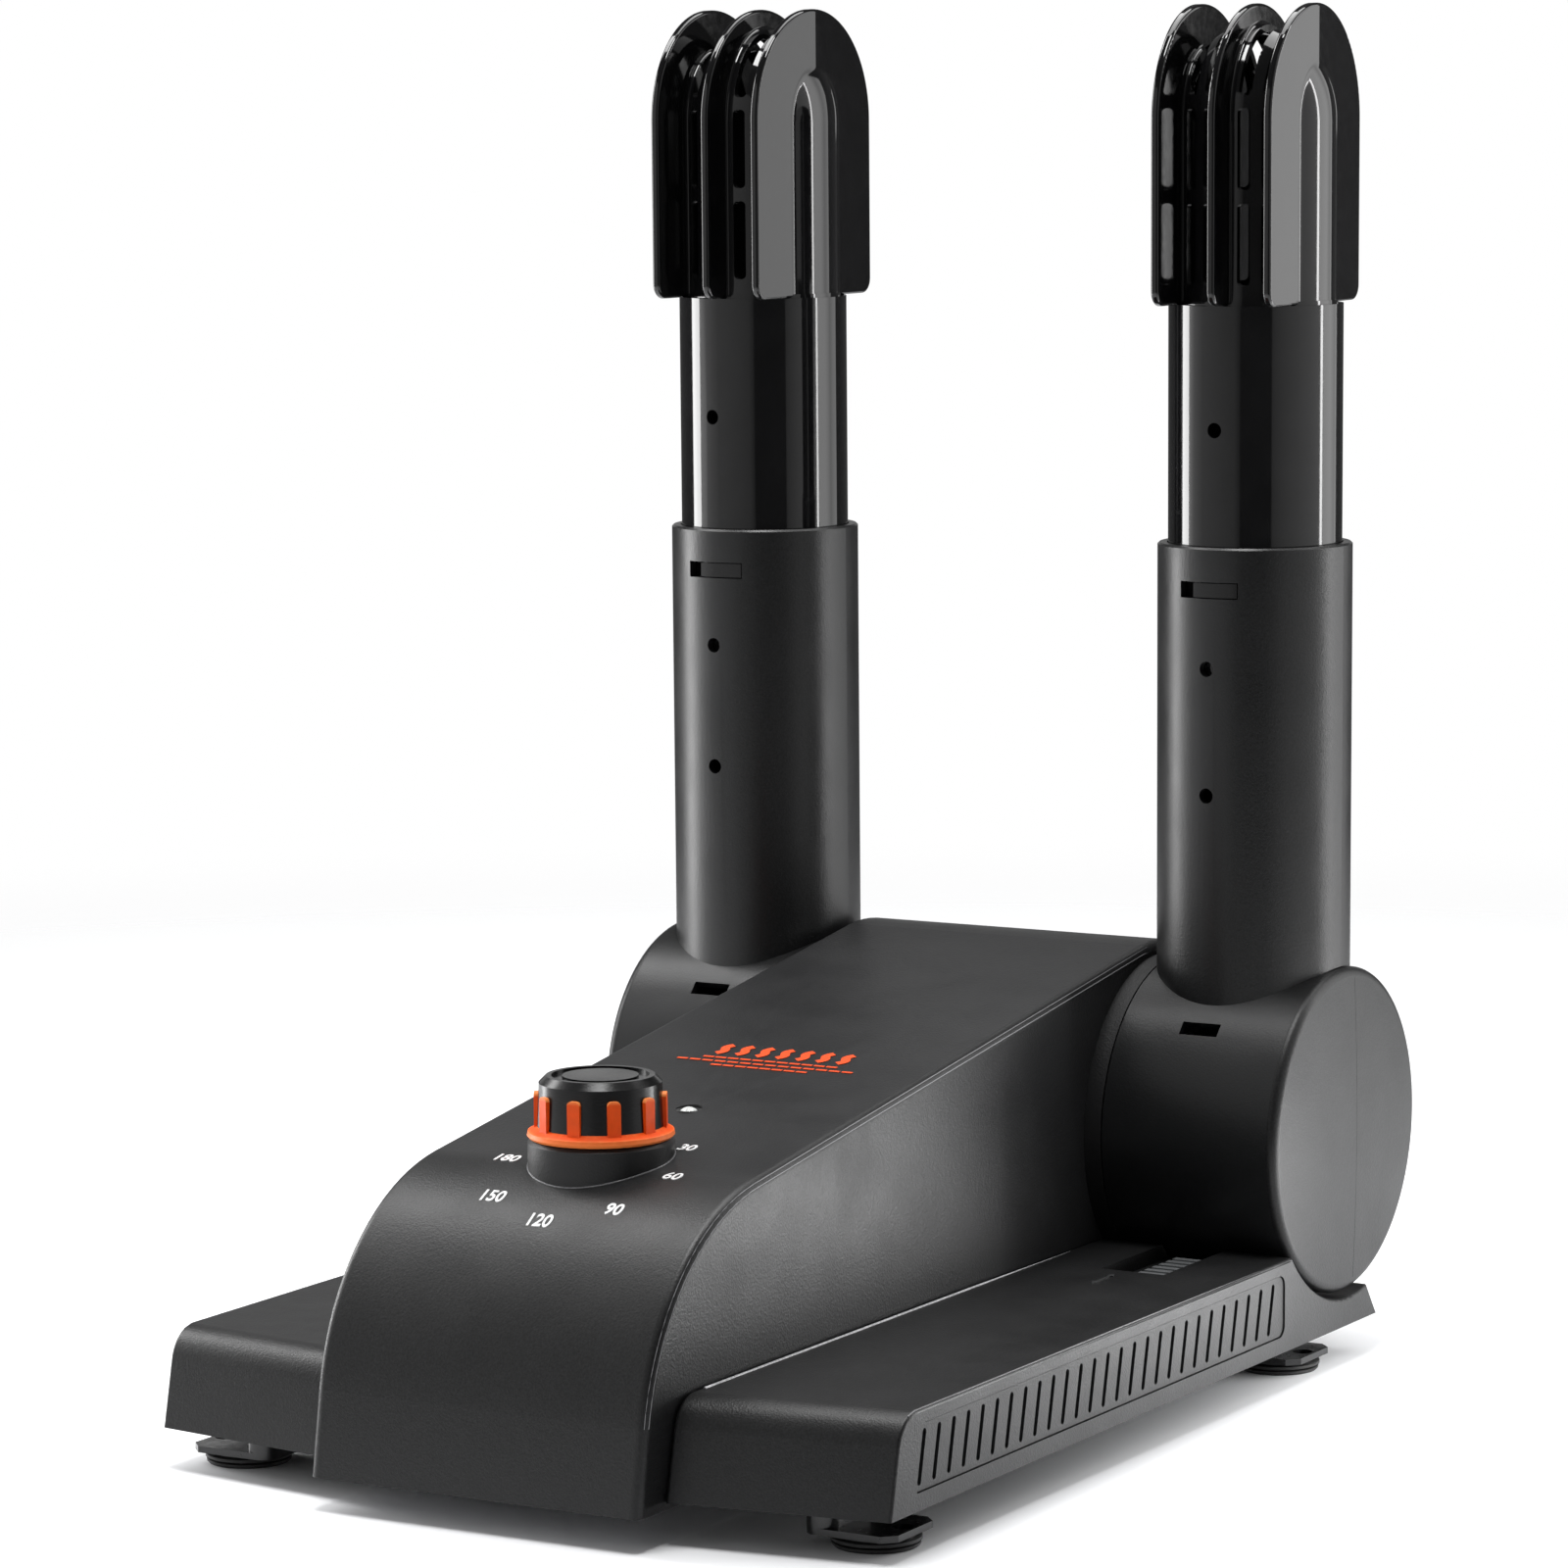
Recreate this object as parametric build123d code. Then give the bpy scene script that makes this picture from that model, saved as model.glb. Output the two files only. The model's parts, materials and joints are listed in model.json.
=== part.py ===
from build123d import *
import math
import os

# Boot dryer with two folding, telescopic air tubes.
# Millimetres, +Z up, -Y is the front, +X is the right-hand side seen from the front.
# The origin is on the floor, under the middle of the bounding box.

# ---------------------------------------------------------------- driving sizes
BARREL_R = 42.4            # the drums that the tubes fold on
FRONT_REACH = 261.0        # from the fold axis to the housing's front foot
BACK_R = 45.8              # the housing's back is round about the fold axis
PIVOT_Y = (FRONT_REACH - BACK_R) / 2
PIVOT_Z = 61.1
GAP = 0.3                  # clearance between pieces that move past each other
SEAM = 0.25                # reveal between fixed covers

HOUSING_HALF = 45.5
HOUSING_BOTTOM = 8.0
HOUSING_WALL = 2.4
HOUSING_EDGE_R = 2.5
FRONT_LEAN = 9.8           # degrees from upright
ROOF_SLOPE = 8.2           # degrees from level
BROW_R = 60.0
SIDE_WINDOWS = (-60.0, -15.0, 30.0)   # middles of the air inlets hidden by each wing

WING_INNER = 46.0
WING_OUTER = 101.0
WING_BOTTOM = 10.0
WING_TOP = 33.6
WING_WALL = 2.2
WING_FRONT = -135.0        # at the outer side
WING_SWEEP = 7.6           # the inner side stands this much further forward
WING_LEAN = 13.0
WING_FRONT_R = 9.0
WING_RIM_R = 0.8
NOTCH_R = 43.8
WING_TAIL = (118.5, 124.7)  # Y of the rear tip and of its foot

VENT_LOW = 14.2
VENT_HIGH = 30.2
VENT_FRONT = -123.4
VENT_BACK = 69.1
VENT_SLOTS = 27
VENT_PITCH = 6.98
VENT_SLOT = (13.2, 1.7)

TUBE_X = 73.0
TUBE_R = 25.0
TUBE_BORE = 22.6
TUBE_TOP = 212.4
TUBE_STOP = 103.6          # shoulder that the sliding tube comes down to
SLIDE_TRAVEL = 59.0
UPPER_R = TUBE_BORE - GAP
UPPER_WALL = 1.8
HEAD_BOTTOM = 273.1
HEAD_TOP = 348.4
OUTER_TURN = -3.4          # degrees that the moulded windows sit off the front
LATCH_Z = 201.6
LATCH_WINDOW = (16.6, 4.2)
LATCH_ARC = 28.5           # degrees that the latch's tab covers
WINDOW = (10.7, 3.9)        # in each drum, under the tube
WINDOW_TURN = 43.0          # degrees up from the drum's front
HOLE_R = 1.95               # small round vents in the tubes
TUBE_HOLES = (181.6, 149.2)
UPPER_HOLE = 241.9
UPPER_TURN = {-1: -7.4, 1: -1.9}
HEAD_TURN = {-1: -0.9, 1: 2.6}

QUARTER_BEZIER = 0.5523    # handle length that makes a Bezier a quarter of an ellipse
FIN_HALF = 29.2
FIN_PITCH = 15.3
FIN_T = 2.2
FIN_CORNER_R = 4.0
FIN_RIM_R = 0.8
NOZZLE_R = 20.0
NOZZLE_DOME = 24.2         # rise of the nozzle's egg-shaped top
NOZZLE_WALL = 1.8
NOZZLE_BLEND_R = 3.0       # where the nozzle bulges through the outer fins
SEAM_BLEND_R = 0.8         # where it meets the fins' other faces
NOZZLE_SLOT_W = 3.2
NOZZLE_SLOT_OFFSETS = (4.85, 10.65)
NOZZLE_SLOT_ROWS = ((278.2, 298.6), (302.0, 322.4), (325.6, 350.0))

HUB_R = 20.0
COLLAR_OUT = 50.3          # outer face of the fixed collar
BARREL_IN = COLLAR_OUT + 0.4
BARREL_OUT = 97.2
BARREL_WALL = 2.4
CAP_DOME = 101.0
CAP_EDGE = 2.7              # height of the cap's soft rim
CAP_RIM_R = 2.4

KNOB_Y = -94.8
KNOB_R = 14.7
GRIP_R = 17.6
COLLAR_R = 17.5
KNOB_BOTTOM = 83.7
KNOB_TOP = 98.6
GRIP_TABS = 10
GRIP_TAB_START = 7.9       # degrees of the first tab from the front, towards +X
GRIP_TAB_TOP = 94.5
GRIP_TAB_W = 3.2
GRIP_TAB_CORNER = 1.1
GRIP_TAB_REACH = 14.9      # middle of a tab's thickness, from the knob's axis
LED_Y = -54.7

FOOT_X = 86.0
FOOT_YS = {"front": -118.2, "rear": 93.1}
PAD_X = 87.7
PAD_R = 10.3
FOOT_PLATE = (3.3, 4.9)

GLAND_FLANGE_R = 8.5
GLAND_NECK_R = 6.8
GLAND_TILT = 138.0         # degrees from straight up, towards the back
CORD_R = 2.8

POCKET = (64.0, 81.6, 39.2, 29.6)   # inner X, outer X, front Y and floor Z of the lock's pocket
POCKET_WALL = 1.8
LOCK_TRAVEL = 8.0

SIDES = {"left": -1, "right": 1}

parts = {}


# ---------------------------------------------------------------- helpers
def block(x, y, z):
    """A box between three pairs of limits."""
    middle = [(low + high) / 2 for low, high in (x, y, z)]
    size = [high - low for low, high in (x, y, z)]
    return Pos(*middle) * Box(*size)


def post(radius, z_low, z_high, x=0.0, y=0.0):
    """An upright cylinder."""
    return Pos(x, y, (z_low + z_high) / 2) * Cylinder(radius, z_high - z_low)


def axle(radius, x_low, x_high, y=PIVOT_Y, z=PIVOT_Z):
    """A cylinder along X."""
    return Pos((x_low + x_high) / 2, y, z) * Rot(0, 90, 0) * Cylinder(radius, x_high - x_low)


def plate(face, x_low, x_high):
    """A face drawn in Y and Z, extruded between two X positions."""
    return extrude(Pos(x_low, 0, 0) * (Plane.YZ * face), x_high - x_low, dir=(1, 0, 0))


def both_sides(name, build):
    """Makes the right-hand piece and its mirror image."""
    piece = build()
    parts[f"{name}_right"] = piece
    parts[f"{name}_left"] = mirror(piece, about=Plane.YZ)


def from_front(angle):
    """Turns about Z, counted from the front towards +X."""
    return Rot(0, 0, angle)


# ---------------------------------------------------------------- outlines
def slope_height(y):
    """Height of the housing's flat roof."""
    crest = PIVOT_Z + BACK_R / math.cos(math.radians(ROOF_SLOPE))
    return crest + math.tan(math.radians(ROOF_SLOPE)) * (y - PIVOT_Y)


def housing_outline():
    lean = math.radians(FRONT_LEAN)
    slope = math.radians(ROOF_SLOPE)
    front = PIVOT_Y - FRONT_REACH
    # the brow is where the leaning front would meet the roof
    rise = (slope_height(front) - HOUSING_BOTTOM) / (1 - math.tan(lean) * math.tan(slope))
    brow = Vector(front + rise * math.tan(lean), HOUSING_BOTTOM + rise)
    down = Vector(-math.sin(lean), -math.cos(lean))
    along = Vector(math.cos(slope), math.sin(slope))
    reach = BROW_R * math.tan((math.pi / 2 - lean - slope) / 2)
    front_end = brow + down * reach
    roof_start = brow + along * reach
    crest_angle = 90 + ROOF_SLOPE
    tail_angle = -math.degrees(math.acos((WING_TAIL[0] + 2.5 - PIVOT_Y) / BACK_R))
    back = CenterArc((PIVOT_Y, PIVOT_Z), BACK_R, tail_angle, crest_angle - tail_angle)
    corner = Vector(front, HOUSING_BOTTOM)
    heel = Vector(WING_TAIL[1], HOUSING_BOTTOM)
    edges = [
        Line(corner, front_end),
        TangentArc(front_end, roof_start, tangent=down * -1),
        Line(roof_start, back @ 1),
        back,
        Line(back @ 0, heel),
        Line(heel, corner),
    ]
    return make_face(edges)


def wing_outline(forward):
    """The wing's side view; forward moves its front edge."""
    front = WING_FRONT - forward
    lean = math.tan(math.radians(WING_LEAN))
    notch_start = PIVOT_Y - math.sqrt(NOTCH_R ** 2 - (PIVOT_Z - WING_TOP) ** 2)
    tip_y, heel_y = WING_TAIL
    tip_z = PIVOT_Z - math.sqrt(NOTCH_R ** 2 - (tip_y - PIVOT_Y) ** 2)
    half_angle = math.radians(90 - WING_LEAN) / 2
    reach = WING_FRONT_R * math.tan(half_angle)
    shoulder = Vector(front + (WING_TOP - WING_BOTTOM) * lean, WING_TOP)
    lean_angle = math.radians(WING_LEAN)
    below = shoulder - Vector(math.sin(lean_angle), math.cos(lean_angle)) * reach
    behind = shoulder + Vector(reach, 0)
    middle = Vector(
        PIVOT_Y - NOTCH_R * math.sin(math.radians(20)),
        PIVOT_Z - NOTCH_R * math.cos(math.radians(20)),
    )
    edges = [
        Line((front, WING_BOTTOM), below),
        TangentArc(below, behind, tangent=(math.sin(lean_angle), math.cos(lean_angle))),
        Line(behind, (notch_start, WING_TOP)),
        ThreePointArc((notch_start, WING_TOP), middle, (tip_y, tip_z)),
        Line((tip_y, tip_z), (heel_y, WING_BOTTOM)),
        Line((heel_y, WING_BOTTOM), (front, WING_BOTTOM)),
    ]
    return make_face(edges)


def floor_outline(seam):
    """Plan of the opening under a wing; the floor plate is smaller by the seam."""
    front = WING_FRONT + WING_WALL + 0.8 + seam
    outer_x = WING_OUTER - WING_WALL - seam
    back = WING_TAIL[1] - WING_WALL - 2.0 - seam
    corners = [
        (WING_INNER, front - WING_SWEEP * 0.98),
        (outer_x, front),
        (outer_x, back),
        (WING_INNER, back),
    ]
    return make_face(Polyline(*corners, close=True))


def vent_outline(grow):
    """The vent panel's outline: leaning front, two round rear corners."""
    lean = math.tan(math.radians(WING_LEAN))
    height = VENT_HIGH - VENT_LOW
    frame = Polyline(
        (VENT_FRONT, VENT_LOW),
        (VENT_FRONT + height * lean, VENT_HIGH),
        (VENT_BACK, VENT_HIGH),
        (VENT_BACK, VENT_LOW),
        close=True,
    )
    face = make_face(frame)
    rear = face.vertices().filter_by_position(Axis.X, VENT_BACK - 1, VENT_BACK + 1)
    face = fillet(rear, 3.0)
    front = face.vertices().sort_by(Axis.X)[:2]
    face = fillet(front, 1.0)
    return offset(face, grow) if grow else face


# ---------------------------------------------------------------- fixed covers
def housing_solid():
    solid = extrude(Plane.YZ * housing_outline(), HOUSING_HALF, both=True)
    crown = [
        edge
        for edge in solid.edges()
        if abs(abs(edge.center().X) - HOUSING_HALF) < 0.01 and edge.center().Z > HOUSING_BOTTOM + 6
    ]
    return fillet(crown, HOUSING_EDGE_R)


def build_housing():
    inner = offset(housing_outline(), -HOUSING_WALL)
    inside = HOUSING_HALF - HOUSING_WALL
    hollow = extrude(Plane.YZ * inner, inside, both=True)
    front = PIVOT_Y - FRONT_REACH + HOUSING_WALL
    rear = WING_TAIL[1] - HOUSING_WALL
    hollow += block((-inside, inside), (front, rear), (HOUSING_BOTTOM - 1, 12.0))
    shell = housing_solid() - hollow
    shell -= axle(HUB_R + 0.6, -HOUSING_HALF - 1, HOUSING_HALF + 1)
    shell -= post(6.0, 60, 100, 0, KNOB_Y)
    shell -= post(3.4, 70, 100, 0, LED_Y)
    shell -= gland_place() * Pos(0, 0, BACK_R) * Cylinder(GLAND_NECK_R + 0.2, 12)
    # air comes in from under the wings through three windows a side
    for y in SIDE_WINDOWS:
        shell -= block((-HOUSING_HALF - 1, HOUSING_HALF + 1), (y - 15, y + 15), (15.0, 27.0))
    return shell


def build_wing():
    outer = loft(
        [
            Pos(WING_INNER, 0, 0) * (Plane.YZ * wing_outline(WING_SWEEP)),
            Pos(WING_OUTER, 0, 0) * (Plane.YZ * wing_outline(0)),
        ],
        ruled=True,
    )
    inner = loft(
        [
            Pos(WING_INNER - 1, 0, 0) * (Plane.YZ * offset(wing_outline(WING_SWEEP), -WING_WALL)),
            Pos(WING_OUTER - WING_WALL, 0, 0) * (Plane.YZ * offset(wing_outline(0), -WING_WALL)),
        ],
        ruled=True,
    )
    rim = [
        edge
        for edge in outer.edges()
        if edge.center().Z > WING_BOTTOM + 1
        and min(abs(edge.center().X - side) for side in (WING_INNER, WING_OUTER)) < 0.01
    ]
    outer = fillet(rim, WING_RIM_R)
    x_in, x_out, y_front, floor = POCKET
    wing = outer - inner
    wing -= extrude(Pos(0, 0, WING_BOTTOM - 1) * floor_outline(0), WING_WALL + 1.5)
    # the lock's pocket hangs under the wing's top
    tray_y = (y_front - POCKET_WALL, y_front + 44.0)
    tray = block((x_in - POCKET_WALL, x_out + POCKET_WALL), tray_y, (floor - 2.2, WING_TOP - 1.0))
    wing += tray & outer
    wing -= block((x_in, x_out), (y_front, y_front + 50.0), (floor, WING_TOP + 1))
    stem = (x_out - 5.9, x_out - 2.1)
    wing -= block(stem, (y_front + 8.5, y_front + 16.0 + LOCK_TRAVEL), (floor - 3, floor + 1))
    wing -= plate(vent_outline(0), WING_OUTER - WING_WALL - 1, WING_OUTER + 1)
    return wing


def build_grille():
    back = WING_OUTER - WING_WALL
    panel = plate(vent_outline(-SEAM), back, WING_OUTER - 0.4)
    panel += plate(vent_outline(1.2), back - 1.3, back)
    middle = (VENT_LOW + VENT_HIGH) / 2
    first = VENT_FRONT + 3.6
    slots = Sketch()
    for index in range(VENT_SLOTS):
        place = Pos(first + index * VENT_PITCH, middle) * Rot(0, 0, 90 - WING_LEAN)
        slots += place * SlotOverall(*VENT_SLOT)
    return panel - plate(slots, back - 2, WING_OUTER + 1)


BASE_SCREWS = [(x, y) for y in (-125.0, -20.0, 95.0) for x in (-34.0, 34.0)]
WING_SCREWS = [(x, y) for y in (-95.0, 60.0) for x in (56.0, 90.0)]


def screws(places, z_face, shank):
    """Pan-head screws driven up from below, as one group."""
    group = []
    for x, y in places:
        screw = post(3.0, z_face - 1.4, z_face, x, y) + post(1.5, z_face, z_face + shank, x, y)
        group.append(screw)
    return Compound(children=group)


def build_base_pan():
    inside = HOUSING_HALF - HOUSING_WALL - SEAM
    front = PIVOT_Y - FRONT_REACH + HOUSING_WALL + SEAM
    pan = block((-inside, inside), (front + 0.4, WING_TAIL[1] - HOUSING_WALL - 1), (8.2, 10.4))
    for x, y in BASE_SCREWS:
        pan += post(3.6, 10.4, 18.0, x, y)
        pan -= post(1.6, 8.0, 16.4, x, y)
    return pan


def build_wing_floor():
    low, high = WING_BOTTOM + 0.2, WING_BOTTOM + 2.2
    floor = extrude(Pos(0, 0, low) * floor_outline(SEAM), high - low)
    for x, y in WING_SCREWS:
        floor += post(3.2, high, 17.0, x, y)
        floor -= post(1.6, low - 1, 15.8, x, y)
    return floor


# ---------------------------------------------------------------- feet
def build_foot_bracket(y):
    low, high = FOOT_PLATE
    outline = Pos(FOOT_X, y) * Rectangle(24.0, 22.0)
    outer = outline.vertices().sort_by(Axis.X)[-2:]
    outline = chamfer(outer, 3.0)
    inner = outline.vertices().sort_by(Axis.X)[:2]
    outline = fillet(inner, 4.0)
    bracket = extrude(Pos(0, 0, low) * outline, high - low)
    riser = Pos(FOOT_X - 8.0, y) * RectangleRounded(8.0, 22.0, 3.9)
    bracket += extrude(Pos(0, 0, low) * riser, WING_BOTTOM + 0.2 - low)
    bracket += post(9.4, low - 0.7, low, PAD_X, y)
    bracket -= post(2.6, low - 0.1, high + 1, FOOT_X + 8.6, y)
    return bracket


def build_foot_pad(y):
    """A flared rubber pad with a groove round it."""
    top = FOOT_PLATE[0] - 0.7
    profile = make_face(
        Polyline(
            (0, 0),
            (PAD_R - 0.5, 0),
            (PAD_R, 0.5),
            (PAD_R, 1.0),
            (PAD_R - 0.6, 1.3),
            (PAD_R + 0.3, 1.6),
            (PAD_R + 0.3, top - 0.3),
            (PAD_R - 0.4, top),
            (0, top),
            close=True,
        )
    )
    return Pos(PAD_X, y, 0) * revolve(Plane.XZ * profile, Axis.Z)


# ---------------------------------------------------------------- cord inlet
def gland_place():
    """The gland stands square on the housing's round back, below the middle."""
    return Pos(0, PIVOT_Y, PIVOT_Z) * Rot(-GLAND_TILT, 0, 0)


def build_gland():
    """Flange outside, neck through the wall, tapered strain relief, one bore for the cord."""
    gland = Pos(0, 0, BACK_R + 0.5) * Cylinder(GLAND_FLANGE_R, 3.0)
    gland -= Rot(0, 90, 0) * Cylinder(BACK_R, 3 * GLAND_FLANGE_R)
    gland += Pos(0, 0, BACK_R - 1.4) * Cylinder(GLAND_NECK_R, 6.2)
    gland += Pos(0, 0, BACK_R + 6.5) * Cone(5.6, 4.2, 9.0)
    gland -= Pos(0, 0, BACK_R) * Cylinder(CORD_R + 0.2, 30.0)
    return gland_place() * gland


# ---------------------------------------------------------------- air path
BLOWER_Y = -15.0
BLOWER_R = 37.0
BLOWER_EYE_R = 20.0
WHEEL_R = 31.0
WHEEL_EYE_R = 27.0
BLADES = 16
SHAFT_R = 1.5
DUCT_X = 18.0
DUCT_Z = (46.0, 68.0)
DUCT_WALL = 1.6
DUCT_INNER_X = DUCT_X - DUCT_WALL
DUCT_INNER_Z = (DUCT_Z[0] + DUCT_WALL, DUCT_Z[1] - DUCT_WALL)
BLOWER_MOUTH = 30.0         # where the blower hands over to the heater's duct
MANIFOLD_MOUTH = PIVOT_Y - 27.0
HEATER_Y = (42.0, 60.0)
HEATER_SLOTS = 9
HEATER_PITCH = 3.4


def build_manifold():
    """Cross tube that feeds both drums and carries their bearings."""
    tube = axle(HUB_R, -58.0, 58.0) - axle(HUB_R - 2.0, -59.0, 59.0)
    mouth = block((-DUCT_X, DUCT_X), (MANIFOLD_MOUTH, PIVOT_Y - 10.0), DUCT_Z)
    inner = block((-DUCT_INNER_X, DUCT_INNER_X), (MANIFOLD_MOUTH - 1, PIVOT_Y - 5.0), DUCT_INNER_Z)
    return tube + (mouth - axle(HUB_R - 1.0, -30, 30)) - inner


def build_blower_housing():
    low, high = DUCT_Z[0] - 4, DUCT_Z[1] + 2
    case = post(BLOWER_R, low, high, 0, BLOWER_Y)
    case += block((-DUCT_X, DUCT_X), (BLOWER_Y, BLOWER_MOUTH), DUCT_Z)
    case -= post(BLOWER_R - DUCT_WALL, low + DUCT_WALL, high - DUCT_WALL, 0, BLOWER_Y)
    case -= block((-DUCT_INNER_X, DUCT_INNER_X), (BLOWER_Y, BLOWER_MOUTH + 1), DUCT_INNER_Z)
    case -= post(BLOWER_EYE_R, high - 2, high + 1, 0, BLOWER_Y)
    case -= post(8.0, low - 1, low + 2, 0, BLOWER_Y)
    return case


def build_impeller():
    low, high = DUCT_Z[0], DUCT_Z[1] - 2
    wheel = post(WHEEL_R, low, low + 1.6, 0, BLOWER_Y) + post(5.0, low, high - 4, 0, BLOWER_Y)
    rim = post(WHEEL_R, high - 1.5, high, 0, BLOWER_Y)
    wheel += rim - post(WHEEL_EYE_R, high - 2, high + 1, 0, BLOWER_Y)
    for index in range(BLADES):
        blade = block((WHEEL_EYE_R - 3, WHEEL_R), (-0.6, 0.6), (low, high))
        wheel += Pos(0, BLOWER_Y, 0) * Rot(0, 0, index * 360 / BLADES) * blade
    return wheel - post(SHAFT_R, low - 1, high, 0, BLOWER_Y)


def build_motor():
    motor = post(16.0, 14.0, 38.0, 0, BLOWER_Y) + post(6.0, 38.0, 41.5, 0, BLOWER_Y)
    for x in (-13.0, 13.0):
        motor += block((x - 3, x + 3), (BLOWER_Y - 6, BLOWER_Y + 6), (10.4, 16.0))
    return motor - post(SHAFT_R + 0.08, 12.0, 45.0, 0, BLOWER_Y)


def build_heater_duct():
    duct = block((-DUCT_X, DUCT_X), (BLOWER_MOUTH, MANIFOLD_MOUTH), DUCT_Z)
    beyond = (BLOWER_MOUTH - 1, MANIFOLD_MOUTH + 1)
    return duct - block((-DUCT_INNER_X, DUCT_INNER_X), beyond, DUCT_INNER_Z)


def build_heater_core():
    """Ceramic heater block with air slots through it."""
    core = block((-DUCT_INNER_X, DUCT_INNER_X), HEATER_Y, DUCT_INNER_Z)
    slot_z = (DUCT_Z[0] + 2 * DUCT_WALL, DUCT_Z[1] - 2 * DUCT_WALL)
    for index in range(HEATER_SLOTS):
        x = (index - (HEATER_SLOTS - 1) / 2) * HEATER_PITCH
        core -= block((x - 1.1, x + 1.1), (HEATER_Y[0] - 1, HEATER_Y[1] + 1), slot_z)
    return core


# ---------------------------------------------------------------- timer and light
TIMER_HALF = 19.0
TIMER_Z = (34.0, 62.0)
TIMER_SHAFT_R = 3.0


def build_timer_body():
    body = block(
        (-TIMER_HALF, TIMER_HALF), (KNOB_Y - TIMER_HALF, KNOB_Y + TIMER_HALF), TIMER_Z
    )
    body += post(5.0, TIMER_Z[1], KNOB_BOTTOM - 2.0, 0, KNOB_Y)
    return body - post(TIMER_SHAFT_R + 0.08, 55.0, KNOB_BOTTOM, 0, KNOB_Y)


def build_timer_collar():
    collar = post(COLLAR_R, 60.0, KNOB_BOTTOM - GAP, 0, KNOB_Y)
    collar = chamfer(collar.edges().sort_by(Axis.Z)[-1], 0.8)
    collar -= post(5.2, 50.0, KNOB_BOTTOM, 0, KNOB_Y)
    return collar - housing_solid()


def build_knob_body():
    profile = make_face(
        Polyline(
            (TIMER_SHAFT_R + 0.02, KNOB_BOTTOM + 1.0),
            (13.4, KNOB_BOTTOM + 1.0),
            (15.1, KNOB_BOTTOM + 2.7),
            (KNOB_R, KNOB_TOP - 1.7),
            (13.0, KNOB_TOP),
            (11.7, KNOB_TOP),
            (11.7, KNOB_TOP - 0.8),
            (TIMER_SHAFT_R + 0.02, KNOB_TOP - 0.8),
            close=True,
        )
    )
    body = Pos(0, KNOB_Y, 0) * revolve(Plane.XZ * profile, Axis.Z)
    for index in range(GRIP_TABS):
        body -= grip_tab(index)
    return body


def grip_tab(index):
    """One upright orange tab let into the knob's side, with rounded corners at its top."""
    angle = GRIP_TAB_START + index * 360 / GRIP_TABS
    height = GRIP_TAB_TOP - KNOB_BOTTOM
    outline = RectangleRounded(GRIP_TAB_W, 2 * height, GRIP_TAB_CORNER)
    tab = Rot(90, 0, 0) * extrude(outline, 0.9, both=True)
    tab = Pos(0, -GRIP_TAB_REACH, KNOB_BOTTOM) * tab
    tab -= post(GRIP_R, KNOB_BOTTOM - height - 1, KNOB_BOTTOM)
    return Pos(0, KNOB_Y, 0) * from_front(angle) * tab


def build_knob_grip():
    profile = make_face(
        Polyline(
            (13.4, KNOB_BOTTOM),
            (GRIP_R - 0.5, KNOB_BOTTOM),
            (GRIP_R, KNOB_BOTTOM + 0.6),
            (GRIP_R - 0.2, KNOB_BOTTOM + 1.6),
            (15.1, KNOB_BOTTOM + 2.7),
            (13.4, KNOB_BOTTOM + 1.0),
            close=True,
        )
    )
    grip = Pos(0, KNOB_Y, 0) * revolve(Plane.XZ * profile, Axis.Z)
    for index in range(GRIP_TABS):
        grip += grip_tab(index)
    return grip


def build_led_lens():
    """Clear lens with a domed face."""
    top = slope_height(LED_Y)
    dome = post(2.2, top - 6.0, top - 2.4, 0, LED_Y) + Pos(0, LED_Y, top - 2.4) * Sphere(2.9)
    return dome & post(2.2, top - 6.0, top + 2.0, 0, LED_Y)


def build_led_bezel():
    top = slope_height(LED_Y)
    ring = post(3.3, top - 3.5, top - 0.25, 0, LED_Y) - post(2.3, top - 5, top + 1, 0, LED_Y)
    return ring


# ---------------------------------------------------------------- fold lock
def build_fold_lock():
    x_in, x_out, y_front, floor = POCKET
    x = (x_out - 7.8, x_out - GAP)
    y = (y_front + GAP, y_front + GAP + 23.2)
    thumb = block(x, y, (floor + GAP, floor + 2.4))
    for index in range(6):
        start = y[0] + 0.4 + index * 3.95
        thumb += block(x, (start, start + 2.2), (floor + 2.4, WING_TOP - 0.3))
    stem_x = (x_out - 5.6, x_out - 2.4)
    catch_x = (x_out - 8.0, x_out - 0.2)
    thumb += block(stem_x, (y_front + 9.1, y_front + 15.5), (floor - 2.6, floor + GAP))
    thumb += block(catch_x, (y_front + 7.0, y_front + 17.5), (floor - 4.6, floor - 2.5))
    return thumb


# ---------------------------------------------------------------- folding drum and tube
def build_hub_collar():
    ring = axle(BARREL_R, HOUSING_HALF, COLLAR_OUT) - axle(HUB_R + 0.2, HOUSING_HALF - 1, COLLAR_OUT + 1)
    return ring


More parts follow.
